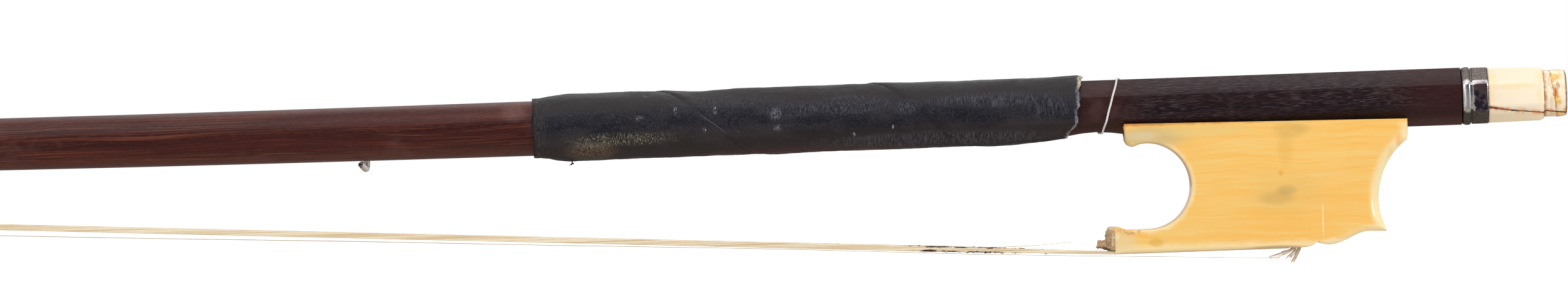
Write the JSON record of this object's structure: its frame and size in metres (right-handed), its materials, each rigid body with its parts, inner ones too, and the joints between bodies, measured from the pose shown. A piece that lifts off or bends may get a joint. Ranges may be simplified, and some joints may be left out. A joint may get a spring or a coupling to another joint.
{
  "type": "violin bow",
  "caption": "Old-style violin bow with an open ivory frog, ivory button, leather grip and slim swept head; turning the button slides the frog to tension the hair.",
  "frame": {"origin": "centre of the button's flat end face, on the screw axis", "axes": "+X along the screw axis towards the button's end, +Y across the bow, +Z away from the hair"},
  "size_m": [0.7249, 0.0102, 0.0616],
  "materials": {
    "dark_wood": "polished dark red-brown wood",
    "black_leather": "worn black",
    "white_thread": "plain thread",
    "silver": "tarnished silver",
    "frog_ivory": "amber-toned, polished",
    "pale_ivory": "pale, polished",
    "brass": "plain",
    "steel": "plain",
    "pale_wood": "rough",
    "dark_lining": "black",
    "horsehair": "cream"
  },
  "bodies": {
    "stick": {"stick": "dark_wood", "leather_grip": "black_leather", "binding_thread": "white_thread", "wire_pin": "silver", "hair": "horsehair", "head_face_plate": "pale_ivory", "head_face_lining": "dark_lining", "head_hair_plug": "pale_wood", "head_hair_knot": "horsehair", "head_knot_binding": "white_thread"},
    "frog": {"frog": "frog_ivory", "frog_eyelet": "brass", "frog_spread_wedge": "pale_wood", "frog_hair_plug": "pale_wood", "frog_hair_knot": "horsehair", "frog_knot_binding": "white_thread", "hair_tuft": "horsehair"},
    "button": {"button": "pale_ivory", "button_ring": "silver", "screw": "steel"}
  },
  "joints": [
    {"name": "button_turn", "type": "hinge", "parent": "stick", "child": "button", "pos_m": [0, 0, 0], "axis": [-1, 0, 0], "range_deg": [-1275, 2910]},
    {"name": "frog_slide", "type": "slide", "parent": "stick", "child": "frog", "axis": [1, 0, 0], "range_m": [-0.00265, 0.00605], "deforming": ["hair"]}
  ],
  "couplings": [
    {"joint": "button_turn", "follows": "frog_slide", "rad_per_m": 8377.6}
  ]
}
